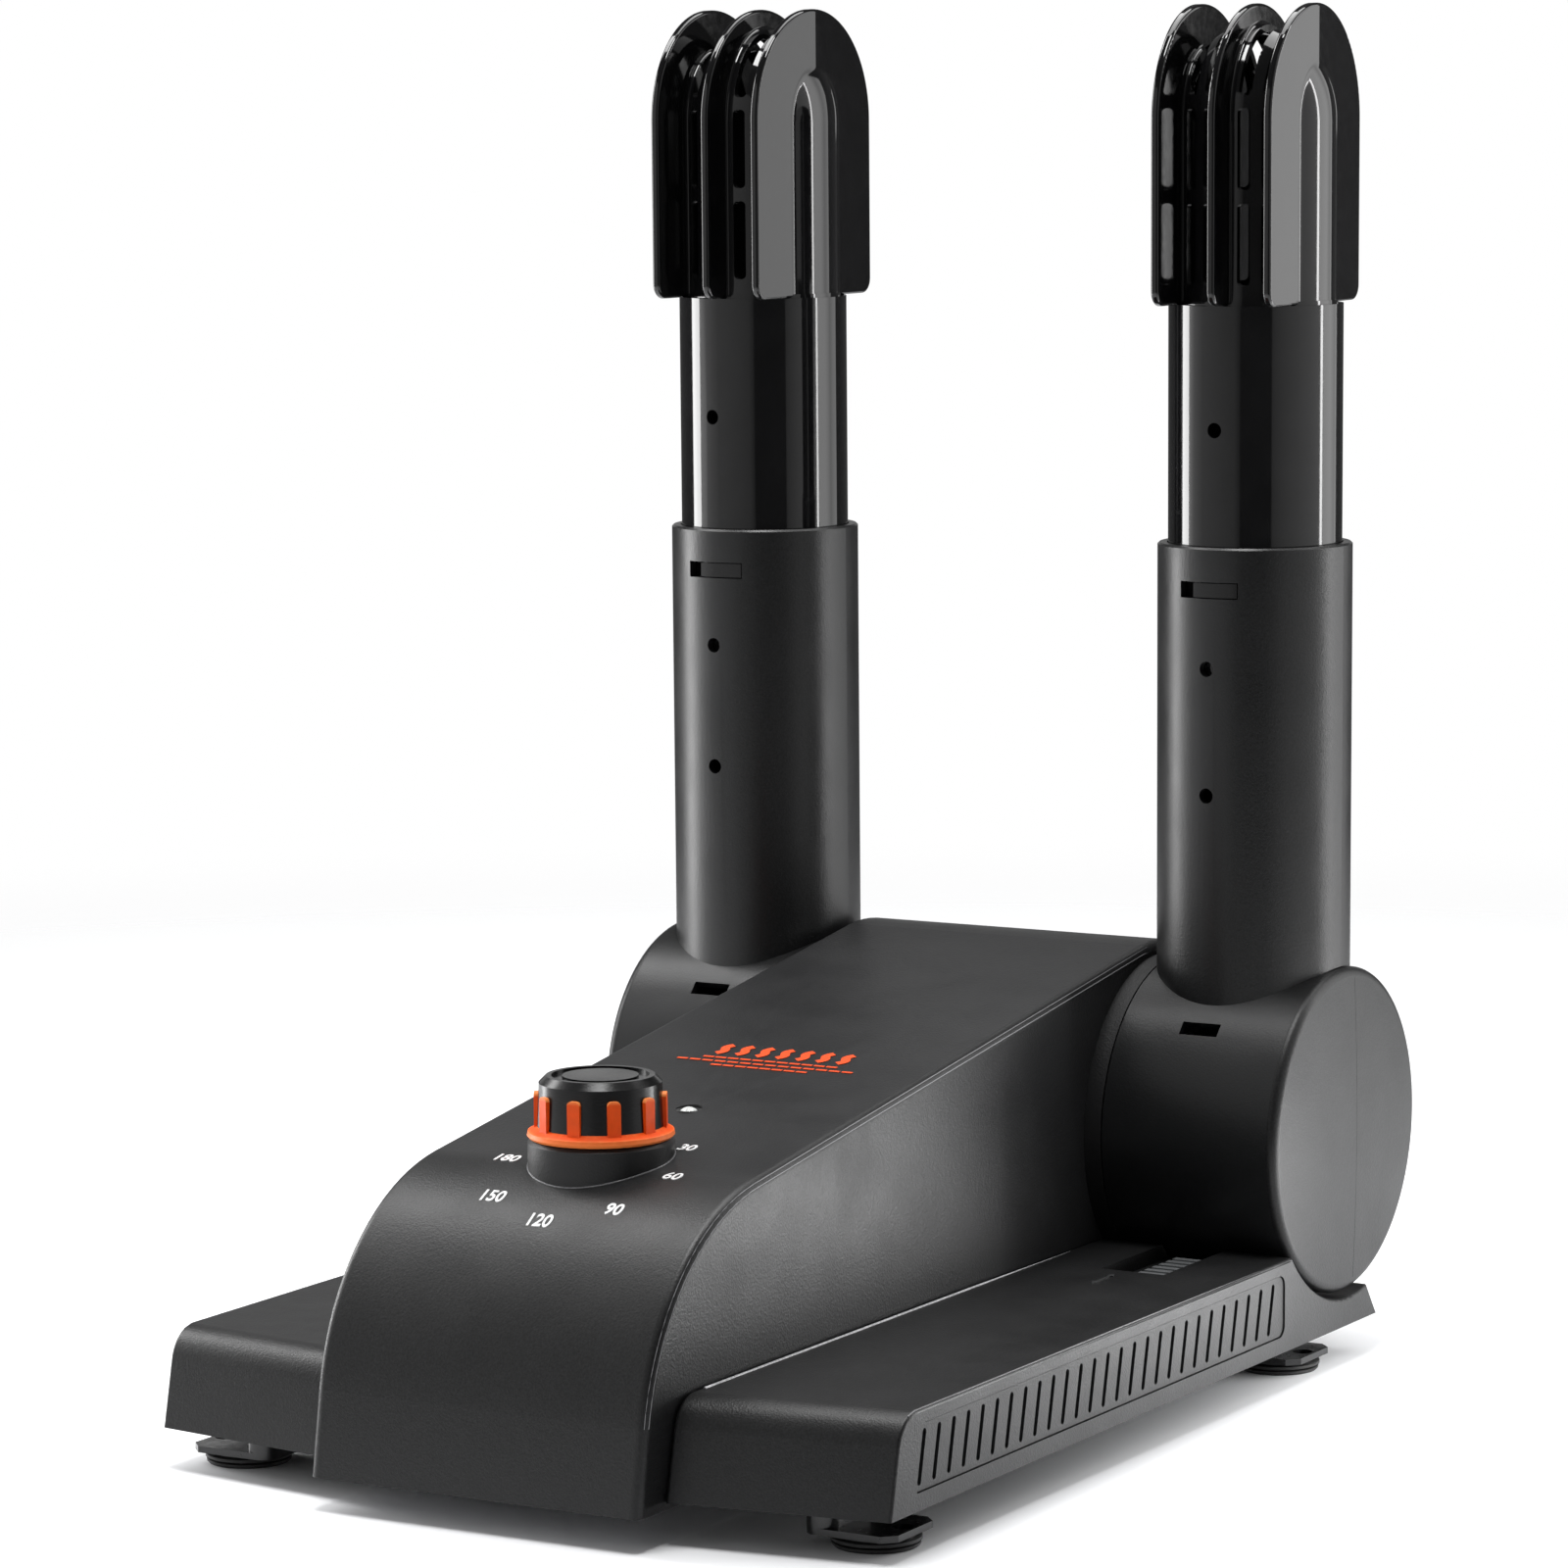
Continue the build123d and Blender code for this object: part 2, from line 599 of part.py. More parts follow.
def build_barrel_tube(side):
    x = side * TUBE_X
    ends = sorted((side * BARREL_IN, side * BARREL_OUT))
    hollow = sorted((side * (BARREL_IN + BARREL_WALL), side * (BARREL_OUT + 1)))
    beyond = sorted((side * 40.0, side * BARREL_IN))
    tube = post(TUBE_R, PIVOT_Z, TUBE_TOP, x, PIVOT_Y)
    tube = chamfer(tube.edges().sort_by(Axis.Z)[-1], 0.5)
    tube -= axle(BARREL_R + GAP, *beyond)
    outside = sorted((side * BARREL_OUT, side * 120.0))
    tube -= axle(BARREL_R + GAP, *outside)
    shell = axle(BARREL_R, *ends) + tube
    shell -= axle(BARREL_R - BARREL_WALL, *hollow)
    shell -= axle(HUB_R + 0.08, *sorted((side * 45.0, side * 60.0)))
    shell -= post(TUBE_BORE, TUBE_STOP, TUBE_TOP + 1, x, PIVOT_Y)
    shell -= post(19.0, PIVOT_Z, TUBE_STOP + 1, x, PIVOT_Y)
    # rectangular window under the saddle
    front = Pos(x, PIVOT_Y, PIVOT_Z) * Rot(-WINDOW_TURN, 0, 0) * Pos(0, -BARREL_R, 0)
    shell -= front * Box(WINDOW[0], 9.0, WINDOW[1])
    # the latch's window near the mouth, and two round vents below it
    centre = Pos(x, PIVOT_Y, 0) * from_front(OUTER_TURN)
    shell -= centre * Pos(0, -TUBE_R, LATCH_Z) * Box(LATCH_WINDOW[0], 12.0, LATCH_WINDOW[1])
    for z in TUBE_HOLES:
        shell -= centre * Pos(0, -TUBE_R, z) * Rot(90, 0, 0) * Cylinder(HOLE_R, 12.0)
    return shell


def build_barrel_cap():
    """Domed disc that closes the drum, with a soft rim and a spigot inside."""
    rise = CAP_DOME - BARREL_OUT - CAP_EDGE
    dome_r = (BARREL_R ** 2 + rise ** 2) / (2 * rise)
    disc = axle(BARREL_R, BARREL_OUT, CAP_DOME + 1)
    disc &= Pos(CAP_DOME - dome_r, PIVOT_Y, PIVOT_Z) * Sphere(dome_r)
    rim = [edge for edge in disc.edges() if edge.center().X > BARREL_OUT + 0.1]
    disc = fillet(rim, CAP_RIM_R)
    return disc + axle(BARREL_R - BARREL_WALL - 0.05, BARREL_OUT - 1.6, BARREL_OUT)


def build_friction_ring():
    start = BARREL_IN + BARREL_WALL
    return axle(28.0, start, start + 1.8) - axle(HUB_R + GAP, start - 1, start + 3)


def build_hub_clip():
    start = BARREL_IN + BARREL_WALL + 1.8 + GAP
    return axle(23.0, start, start + 2.0) - axle(HUB_R + 0.02, start - 1, start + 3)


def build_latch(side):
    """Curved tab in the tube's window; it slides sideways to free the upper tube."""
    half = LATCH_WINDOW[1] / 2 - GAP
    ring = post(TUBE_R - 0.3, LATCH_Z - half, LATCH_Z + half)
    ring -= post(TUBE_BORE + 0.15, LATCH_Z - half - 1, LATCH_Z + half + 1)
    rest_end = math.degrees(math.asin(LATCH_WINDOW[0] / 2 / TUBE_R)) - 0.7
    arc = CenterArc((0, 0), TUBE_R + 5, -90, LATCH_ARC)
    wedge = make_face([Line((0, 0), arc @ 0), arc, Line(arc @ 1, (0, 0))])
    sector = extrude(Pos(0, 0, LATCH_Z) * wedge, LATCH_WINDOW[1], both=True)
    tab = ring & (from_front(rest_end - LATCH_ARC) * sector)
    return Pos(side * TUBE_X, PIVOT_Y, 0) * from_front(OUTER_TURN) * tab


# ---------------------------------------------------------------- sliding tube and head
def build_upper_tube(side):
    x = side * TUBE_X
    low = TUBE_STOP + GAP + SLIDE_TRAVEL
    tube = post(UPPER_R, low, HEAD_BOTTOM, x, PIVOT_Y)
    tube -= post(UPPER_R - UPPER_WALL, low - 1, HEAD_BOTTOM + 1, x, PIVOT_Y)
    hole = Pos(0, -UPPER_R, UPPER_HOLE) * Rot(90, 0, 0) * Cylinder(HOLE_R, 8.0)
    return tube - Pos(x, PIVOT_Y, 0) * from_front(UPPER_TURN[side]) * hole


def fin():
    """One arch-shaped fin, square to X."""
    centre_z = HEAD_TOP - FIN_HALF
    middle = (HEAD_BOTTOM + centre_z) / 2
    outline = Pos(0, middle) * Rectangle(2 * FIN_HALF, centre_z - HEAD_BOTTOM)
    outline += Pos(0, centre_z) * Circle(FIN_HALF)
    outline -= Pos(0, HEAD_BOTTOM - 20) * Rectangle(100, 40)
    corners = outline.vertices().filter_by_position(Axis.Y, HEAD_BOTTOM - 0.1, HEAD_BOTTOM + 0.1)
    outline = fillet(corners, FIN_CORNER_R)
    return extrude(Plane.YZ * outline, FIN_T / 2, both=True)


def egg(radius, rise, bottom):
    """An upright cylinder with an egg-shaped dome that starts at the fins' arch centre."""
    dome_z = HEAD_TOP - FIN_HALF
    top = dome_z + rise
    quarter = make_face(
        [
            Bezier(
                (radius, dome_z),
                (radius, dome_z + QUARTER_BEZIER * rise),
                (QUARTER_BEZIER * radius, top),
                (0, top),
            ),
            Line((0, top), (0, bottom)),
            Line((0, bottom), (radius, bottom)),
            Line((radius, bottom), (radius, dome_z)),
        ]
    )
    return revolve(Plane.XZ * quarter, Axis.Z)


def face_edges(head, planes):
    """Edges of the head that lie on fin faces at these distances from its middle."""
    return [
        edge
        for edge in head.edges()
        if any(abs(abs(edge.center().X) - plane) < 0.01 for plane in planes)
        and edge.center().Z > HEAD_BOTTOM + 0.5
    ]


def on_rim(edge):
    """True for a fin's outer edge, false for its seam with the nozzle."""
    return abs(edge.center().Y) > FIN_HALF - 5 or edge.center().Z > HEAD_TOP - 1


def solid_head():
    """Nozzle and three fins in one moulding, with every seam blended and every rim rounded."""
    head = egg(NOZZLE_R, NOZZLE_DOME, HEAD_BOTTOM)
    for index in (-1, 0, 1):
        head += Pos(index * FIN_PITCH, 0, 0) * fin()
    outer = FIN_PITCH + FIN_T / 2
    inner = (FIN_PITCH - FIN_T / 2, FIN_T / 2)
    bulge = [edge for edge in face_edges(head, [outer]) if not on_rim(edge)]
    head = fillet(bulge, NOZZLE_BLEND_R)
    seams = [edge for edge in face_edges(head, inner) if not on_rim(edge)]
    head = fillet(seams, SEAM_BLEND_R)
    rims = [edge for edge in face_edges(head, (outer, *inner)) if on_rim(edge)]
    return fillet(rims, FIN_RIM_R)


def nozzle_slots():
    """Upright slots in three rows; the top row runs over the dome from front to back."""
    cuts = []
    for offset_x in NOZZLE_SLOT_OFFSETS:
        for x in (-offset_x, offset_x):
            for low, high in NOZZLE_SLOT_ROWS:
                outline = Pos(x, (low + high) / 2) * RectangleRounded(NOZZLE_SLOT_W, high - low, 1.2)
                cuts.append(extrude(Plane.XZ * outline, 30, both=True))
    return cuts


def build_nozzle_head(side):
    inner = NOZZLE_R - NOZZLE_WALL
    head = solid_head()
    head += post(UPPER_R - UPPER_WALL - 0.05, HEAD_BOTTOM - 10, HEAD_BOTTOM + 1)
    head -= post(inner, HEAD_BOTTOM - 11, HEAD_BOTTOM + 2)
    head -= egg(inner, NOZZLE_DOME - NOZZLE_WALL, HEAD_BOTTOM + 1)
    for cut in nozzle_slots():
        head -= cut
    return Pos(side * TUBE_X, PIVOT_Y, 0) * from_front(HEAD_TURN[side]) * head


# ---------------------------------------------------------------- assembly
parts["main_housing"] = build_housing()
both_sides("wing_cover", build_wing)
both_sides("vent_grille", build_grille)
both_sides("wing_floor", build_wing_floor)
both_sides("hub_collar", build_hub_collar)
both_sides("hub_clip", build_hub_clip)
both_sides("barrel_cap", build_barrel_cap)
both_sides("friction_ring", build_friction_ring)
both_sides("fold_lock", build_fold_lock)
for row, foot_y in FOOT_YS.items():
    both_sides(f"foot_bracket_{row}", lambda: build_foot_bracket(foot_y))
    both_sides(f"foot_pad_{row}", lambda: build_foot_pad(foot_y))
for name, side in SIDES.items():
    parts[f"barrel_tube_{name}"] = build_barrel_tube(side)
    parts[f"tube_latch_{name}"] = build_latch(side)
    parts[f"upper_tube_{name}"] = build_upper_tube(side)
    parts[f"nozzle_head_{name}"] = build_nozzle_head(side)
parts["base_pan"] = build_base_pan()
parts["base_screws"] = screws(BASE_SCREWS, 8.2, 8.0)
parts["wing_screws"] = screws(
    WING_SCREWS + [(-x, y) for x, y in WING_SCREWS], WING_BOTTOM + 0.2, 5.5
)
parts["cord_gland"] = build_gland()
parts["air_manifold"] = build_manifold()
parts["blower_housing"] = build_blower_housing()
parts["blower_impeller"] = build_impeller()
parts["blower_motor"] = build_motor()
parts["motor_shaft"] = post(SHAFT_R, 20.0, DUCT_Z[1] - 3, 0, BLOWER_Y)
parts["heater_duct"] = build_heater_duct()
parts["heater_core"] = build_heater_core()
parts["thermal_cutoff"] = post(5.0, DUCT_Z[1], DUCT_Z[1] + 4.0, 0, 70.0)
parts["control_board"] = block((-28, 28), (-72.0, -38.0), (14.0, 15.6))
parts["timer_body"] = build_timer_body()
parts["timer_collar"] = build_timer_collar()
parts["timer_shaft"] = post(TIMER_SHAFT_R, 57.0, KNOB_TOP - 2.0, 0, KNOB_Y)
parts["knob_body"] = build_knob_body()
parts["knob_grip"] = build_knob_grip()
parts["knob_disc"] = post(9.1, KNOB_TOP - 0.8, KNOB_TOP - 0.1, 0, KNOB_Y)
parts["led_lens"] = build_led_lens()
parts["led_bezel"] = build_led_bezel()

os.makedirs("parts", exist_ok=True)
for name, solid in parts.items():
    export_step(solid, f"parts/{name}.step")
print(len(parts), "pieces")
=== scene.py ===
"""Looks of the boot dryer: camera, studio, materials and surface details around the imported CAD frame."""

import json
import math

import bmesh
import bpy
from mathutils import Matrix, Vector
from mathutils.bvhtree import BVHTree


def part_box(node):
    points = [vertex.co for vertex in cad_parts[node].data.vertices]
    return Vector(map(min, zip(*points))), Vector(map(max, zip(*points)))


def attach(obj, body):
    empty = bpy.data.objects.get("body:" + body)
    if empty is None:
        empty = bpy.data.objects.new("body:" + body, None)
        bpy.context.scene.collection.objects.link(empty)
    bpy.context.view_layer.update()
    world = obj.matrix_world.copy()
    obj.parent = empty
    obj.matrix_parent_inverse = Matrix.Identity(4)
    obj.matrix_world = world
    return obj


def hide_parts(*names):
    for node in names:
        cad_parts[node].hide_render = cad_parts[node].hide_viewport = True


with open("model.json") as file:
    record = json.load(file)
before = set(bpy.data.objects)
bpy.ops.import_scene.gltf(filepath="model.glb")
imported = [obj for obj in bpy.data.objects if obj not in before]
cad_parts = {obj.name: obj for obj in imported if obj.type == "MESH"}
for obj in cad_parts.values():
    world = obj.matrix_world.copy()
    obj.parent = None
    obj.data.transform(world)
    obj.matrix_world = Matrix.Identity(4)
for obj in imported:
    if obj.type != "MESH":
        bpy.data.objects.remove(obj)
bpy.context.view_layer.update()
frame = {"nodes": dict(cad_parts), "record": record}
nodes = frame["nodes"]
SIDES = {"left": -1, "right": 1}     # each side and the sign of its X

# ---------------------------------------------------------------- camera
CAMERA_PLACE = (0.745, -1.2755, 0.3362)
CAMERA_TURN = 30.366       # degrees to the left of the +Y axis
CAMERA_TILT = 9.248        # degrees down
CAMERA_ROLL = -0.485
CAMERA_LENS = 137.2
CAMERA_SHIFT = (-0.00625, 0.1563)


def make_camera():
    data = bpy.data.cameras.new("camera")
    data.lens = CAMERA_LENS
    data.sensor_width = 36.0
    data.shift_x, data.shift_y = CAMERA_SHIFT
    camera = bpy.data.objects.new("camera", data)
    turn = Matrix.Rotation(math.radians(CAMERA_TURN), 4, "Z")
    tilt = Matrix.Rotation(math.radians(90 - CAMERA_TILT), 4, "X")
    roll = Matrix.Rotation(math.radians(CAMERA_ROLL), 4, "Z")
    camera.matrix_world = Matrix.Translation(CAMERA_PLACE) @ turn @ tilt @ roll
    bpy.context.scene.collection.objects.link(camera)
    bpy.context.scene.camera = camera
    bpy.context.scene.view_settings.view_transform = "Standard"


# ---------------------------------------------------------------- materials
class Material:
    """A Principled material whose textures all use the object's own coordinates, in metres."""

    def __init__(self, name, color, roughness, **settings):
        self.material = bpy.data.materials.new(name)
        self.material.use_nodes = True
        self.tree = self.material.node_tree
        self.shader = self.tree.nodes["Principled BSDF"]
        self.shader.inputs["Base Color"].default_value = (*color, 1.0)
        self.shader.inputs["Roughness"].default_value = roughness
        for socket, value in settings.items():
            self.shader.inputs[socket.replace("_", " ")].default_value = value
        self.place = self.add("ShaderNodeTexCoord").outputs["Object"]
        self.height = None

    def add(self, kind, **settings):
        node = self.tree.nodes.new(kind)
        for key, value in settings.items():
            setattr(node, key, value)
        return node

    def link(self, output, target):
        self.tree.links.new(output, target)

    def noise(self, scale, detail):
        """Noise with features of about 1/scale metres."""
        node = self.add("ShaderNodeTexNoise")
        node.inputs["Scale"].default_value = scale
        node.inputs["Detail"].default_value = detail
        self.link(self.place, node.inputs["Vector"])
        return node.outputs["Fac"]

    def spread(self, value, low, high, source=(0.3, 0.7)):
        """Maps a texture's range to low..high."""
        node = self.add("ShaderNodeMapRange")
        node.inputs["From Min"].default_value, node.inputs["From Max"].default_value = source
        node.inputs["To Min"].default_value = low
        node.inputs["To Max"].default_value = high
        self.link(value, node.inputs["Value"])
        return node.outputs["Result"]

    def vary_roughness(self, low, high, scale):
        self.link(self.spread(self.noise(scale, 3.0), low, high), self.shader.inputs["Roughness"])

    def vary_color(self, dark, light, scale, wear=None):
        """Blotches between two colours, and a paler tone on convex edges."""
        mix = self.add("ShaderNodeMix", data_type="RGBA")
        mix.inputs[6].default_value = (*dark, 1.0)
        mix.inputs[7].default_value = (*light, 1.0)
        self.link(self.spread(self.noise(scale, 4.0), 0.0, 1.0), mix.inputs[0])
        color = mix.outputs[2]
        if wear:
            edge = self.add("ShaderNodeNewGeometry").outputs["Pointiness"]
            worn = self.add("ShaderNodeMix", data_type="RGBA")
            self.link(self.spread(edge, 0.0, 1.0, (0.53, 0.62)), worn.inputs[0])
            self.link(color, worn.inputs[6])
            worn.inputs[7].default_value = (*wear, 1.0)
            color = worn.outputs[2]
        self.link(color, self.shader.inputs["Base Color"])

    def grain(self, size, depth, cells=True):
        """Fine moulded grain: bumps of this size and depth in metres."""
        bump = self.add("ShaderNodeBump")
        bump.inputs["Strength"].default_value = 1.0
        bump.inputs["Distance"].default_value = depth
        if cells:
            node = self.add("ShaderNodeTexVoronoi", feature="SMOOTH_F1")
            node.inputs["Scale"].default_value = 1 / size
            node.inputs["Smoothness"].default_value = 0.6
            self.link(self.place, node.inputs["Vector"])
            fine = node.outputs["Distance"]
        else:
            fine = self.noise(1 / size, 3.0)
        self.link(fine, bump.inputs["Height"])
        if self.height:
            self.link(self.height, bump.inputs["Normal"])
        self.height = bump.outputs["Normal"]
        self.link(self.height, self.shader.inputs["Normal"])


SHELL_TONES = (0.45, 1.7, 2.2)      # darkest, lightest and worn, against the plastic's own colour
SHELL_SPECKLE = 1700.0
FINE_GRAIN = 0.0005
COARSE_GRAIN = 0.0011


def shell_plastic(name, color, low, high, depth=0.00004, gloss=0.36):
    """Moulded plastic with spark-eroded grain; low and high are the ends of its roughness."""
    made = Material(name, color, low, Specular_IOR_Level=gloss)
    dark, light, worn = [tuple(c * tone for c in color) for tone in SHELL_TONES]
    made.vary_color(dark, light, SHELL_SPECKLE, wear=worn)
    made.vary_roughness(low, high, 60.0)
    made.grain(FINE_GRAIN, depth)
    made.grain(COARSE_GRAIN, depth, cells=False)
    return made.material


def gloss_plastic(name, color, low, high):
    """Polished black plastic with faint moulding waviness and dust-fine scuffs."""
    made = Material(name, color, low, Specular_IOR_Level=0.5)
    made.vary_color(tuple(c * 0.8 for c in color), tuple(c * 1.3 for c in color), 140.0)
    made.vary_roughness(low, high, 420.0)
    made.grain(0.012, 0.000012, cells=False)
    return made.material


def rubber(name, color, wear, gloss=0.45):
    """Soft matte rubber that pales on its edges."""
    made = Material(name, color, 0.5, Specular_IOR_Level=gloss)
    made.vary_color(tuple(c * 0.9 for c in color), color, 500.0, wear=wear)
    made.vary_roughness(0.42, 0.58, 300.0)
    made.grain(0.0004, 0.00001, cells=False)
    return made.material


def metal(name, color, low, high):
    """Bare metal with fine scratches between two roughnesses."""
    made = Material(name, color, low, Metallic=1.0)
    made.vary_roughness(low, high, 900.0)
    made.vary_color(tuple(c * 0.85 for c in color), color, 220.0)
    made.grain(0.0008, 0.000006, cells=False)
    return made.material


def print_ink(name, color):
    """Pad-printed ink, slightly uneven."""
    made = Material(name, color, 0.45)
    made.vary_color(tuple(c * 0.86 for c in color), color, 2500.0)
    made.grain(0.0003, 0.000006, cells=False)
    return made.material


def lens_plastic():
    """Milky clear plastic over the indicator light."""
    made = Material("lens", (0.8, 0.82, 0.8), 0.08, Transmission_Weight=0.25, IOR=1.49)
    made.vary_color((0.72, 0.74, 0.72), (0.9, 0.92, 0.9), 700.0)
    made.grain(0.0009, 0.00002)
    return made.material


def make_materials():
    """The record's slots by name, then the looks that only surface details and a few nodes have."""
    return {
        "shell": shell_plastic("shell", (0.007, 0.0071, 0.0074), 0.38, 0.46),
        "grille": shell_plastic("grille", (0.007, 0.0071, 0.0074), 0.4, 0.48),
        "drum": shell_plastic("drum", (0.007, 0.0071, 0.0074), 0.36, 0.42, 0.000022, gloss=0.28),
        "tube": shell_plastic("tube", (0.0035, 0.0036, 0.0038), 0.32, 0.38, 0.00002),
        "collar": shell_plastic("collar", (0.003, 0.003, 0.0032), 0.55, 0.65, 0.00006),
        "knob": shell_plastic("knob", (0.0025, 0.0025, 0.0027), 0.2, 0.26, 0.000006, gloss=0.3),
        # Painted light: the lock's colour is lightened far above the shell's so that it shows lit.
        "lock": shell_plastic("lock", (0.06, 0.062, 0.064), 0.26, 0.32, 0.000008, gloss=0.8),
        "gloss": gloss_plastic("gloss", (0.0035, 0.0035, 0.0038), 0.05, 0.09),
        "foot": gloss_plastic("foot", (0.005, 0.005, 0.0055), 0.18, 0.28),
        "pad": rubber("pad", (0.008, 0.008, 0.008), (0.02, 0.02, 0.02)),
        "grip": rubber("grip", (0.86, 0.085, 0.003), (0.98, 0.3, 0.08), gloss=0.22),
        "timer_collar": shell_plastic("timer_collar", (0.004, 0.004, 0.0042), 0.38, 0.46, 0.00003),
        "lens": lens_plastic(),
        "inner_plastic": shell_plastic("inner_plastic", (0.12, 0.12, 0.125), 0.45, 0.55),
        "hot_plastic": shell_plastic("hot_plastic", (0.5, 0.46, 0.38), 0.45, 0.55),
        "steel": metal("steel", (0.6, 0.6, 0.62), 0.25, 0.4),
        "heater": metal("heater", (0.42, 0.36, 0.3), 0.45, 0.65),
        "board": shell_plastic("board", (0.02, 0.14, 0.05), 0.3, 0.4),
        "white_ink": print_ink("white_ink", (0.85, 0.85, 0.85)),
        "orange_ink": print_ink("orange_ink", (0.82, 0.075, 0.008)),
        # Pale materials for the edge bands, lips and collar bead: painted highlight along the edges, the
        # bright one for the strongest glints.
        "painted_edge_highlight": shell_plastic("painted_edge_highlight", (0.10, 0.10, 0.104), 0.3, 0.4, 0.00001),
        "painted_edge_highlight_bright": shell_plastic("painted_edge_highlight_bright", (0.4, 0.4, 0.408), 0.25, 0.35, 0.00001),
        "raised": shell_plastic("raised", (0.02, 0.0205, 0.021), 0.3, 0.4, 0.00001),
    }


# ---------------------------------------------------------------- studio
FLOOR_REACH = 6.0
FLOOR_PLAIN = (0.5, 1.1)       # the floor fades out between these distances
ROOM_LIGHT = 0.08


def panel(name, place, size, radiance, target, profile=None):
    """A soft rectangular light that reflects in the object but is never seen itself.

    A profile makes it uneven: pairs of how far along its width and how bright, against radiance.
    """
    data = bpy.data.lights.new(name, "AREA")
    data.shape = "RECTANGLE"
    data.size, data.size_y = size
    data.energy = radiance * math.pi * size[0] * size[1]
    if profile:
        data.use_nodes = True
        tree = data.node_tree
        split = tree.nodes.new("ShaderNodeSeparateXYZ")
        tree.links.new(tree.nodes.new("ShaderNodeNewGeometry").outputs["Parametric"], split.inputs[0])
        ramp = tree.nodes.new("ShaderNodeValToRGB")
        stops = ramp.color_ramp.elements
        while len(stops) < len(profile):
            stops.new(0.5)
        for stop, (along, level) in zip(stops, reversed(profile)):
            stop.position = 1 - along
            stop.color = (level, level, level, 1.0)
        tree.links.new(split.outputs["X"], ramp.inputs["Fac"])
        tree.links.new(ramp.outputs["Color"], tree.nodes["Emission"].inputs["Color"])
    light = bpy.data.objects.new(name, data)
    light.location = place
    aim = Vector(target) - Vector(place)
    light.rotation_euler = aim.to_track_quat("-Z", "Y").to_euler()
    light.visible_camera = False
    bpy.context.scene.collection.objects.link(light)


def wall_panel(name, start, end, height, radiance, profile=None):
    """An upright panel between two points on the floor, facing right of the way from start to end."""
    start, end = Vector((*start, 0)), Vector((*end, 0))
    middle = (start + end) / 2 + Vector((0, 0, height / 2))
    run = (end - start).normalized()
    target = middle + Vector((run.y, -run.x, 0))
    panel(name, middle, ((end - start).length, height), radiance, target, profile)


def white_room():
    """White to look at, dim as a light, so the panels alone shape the reflections."""
    world = bpy.data.worlds.new("studio")
    bpy.context.scene.world = world
    world.use_nodes = True
    tree = world.node_tree
    seen = tree.nodes.new("ShaderNodeLightPath")
    strength = tree.nodes.new("ShaderNodeMapRange")
    strength.inputs["To Min"].default_value = ROOM_LIGHT
    strength.inputs["To Max"].default_value = 1.0
    tree.links.new(seen.outputs["Is Camera Ray"], strength.inputs["Value"])
    tree.nodes["Background"].inputs["Color"].default_value = (1.0, 1.0, 1.0, 1.0)
    tree.links.new(strength.outputs["Result"], tree.nodes["Background"].inputs["Strength"])


def make_floor():
    """Pale matte sweep that fades into the white room, so no horizon shows."""
    mesh = bpy.data.meshes.new("floor")
    corners = [(-1, -1), (1, -1), (1, 1), (-1, 1)]
    mesh.from_pydata([(x * FLOOR_REACH, y * FLOOR_REACH, 0) for x, y in corners], [], [(0, 1, 2, 3)])
    floor = bpy.data.objects.new("floor", mesh)
    bpy.context.scene.collection.objects.link(floor)
    paint = Material("floor_paint", (0.9, 0.905, 0.915), 0.6, Specular_IOR_Level=0.0)
    paint.vary_color((0.9, 0.905, 0.918), (0.92, 0.925, 0.938), 6.0)
    far = paint.add("ShaderNodeVectorMath", operation="LENGTH")
    paint.link(paint.place, far.inputs[0])
    fade = paint.add("ShaderNodeMapRange", interpolation_type="SMOOTHSTEP")
    fade.inputs["From Min"].default_value, fade.inputs["From Max"].default_value = FLOOR_PLAIN
    paint.link(far.outputs["Value"], fade.inputs["Value"])
    gone = paint.add("ShaderNodeBsdfTransparent")
    mix = paint.add("ShaderNodeMixShader")
    paint.link(fade.outputs["Result"], mix.inputs[0])
    paint.link(paint.shader.outputs[0], mix.inputs[1])
    paint.link(gone.outputs[0], mix.inputs[2])
    paint.link(mix.outputs[0], paint.tree.nodes["Material Output"].inputs["Surface"])
    floor.data.materials.append(paint.material)


def make_stage():
    """Two tall banded walls and two bright strips for the upright tubes, soft panels for the rest."""
    white_room()
    make_floor()
    wall_panel(
        "right_box", (0.29, 0.67), (0.29, -0.1), 0.62, 3.4,
        [(0.0, 0.34), (0.03, 0.5), (0.15, 0.5), (0.28, 0.44), (0.42, 0.85), (0.55, 1.0),
         (0.56, 0.34), (0.7, 0.26), (0.97, 0.11), (1.0, 0.08)],
    )
    wall_panel("right_strip", (0.275, 0.228), (0.275, 0.208), 0.62, 14.0)
    wall_panel(
        "left_box", (0.143, -0.557), (-0.585, -0.125), 0.62, 2.4,
        [(0.0, 0.05), (0.12, 0.15), (0.35, 0.2), (0.65, 0.26), (0.85, 0.45), (1.0, 1.0)],
    )
    wall_panel("left_strip", (-0.595, -0.12), (-0.635, 0.045), 0.62, 12.5)
    panel("right_low", (0.2, 0.1, 0.02), (0.13, 0.08), 5.6, (0.04, -0.1, 0.07))
    panel("top_soft", (-0.05, 0.5, 1.2), (0.8, 0.7), 4.6, (0.0, 0.1, 0.1))
    panel("upper_left", (-0.72, 0.1, 1.15), (0.35, 0.5), 9.0, (0.0, -0.05, 0.1))
    panel("overhead", (0.0, -0.14, 1.25), (0.4, 0.4), 20.0, (0.0, -0.05, 0.1))
    panel("back_low", (-0.9, 1.35, 0.42), (2.0, 0.26), 0.65, (0.0, 0.0, 0.1))


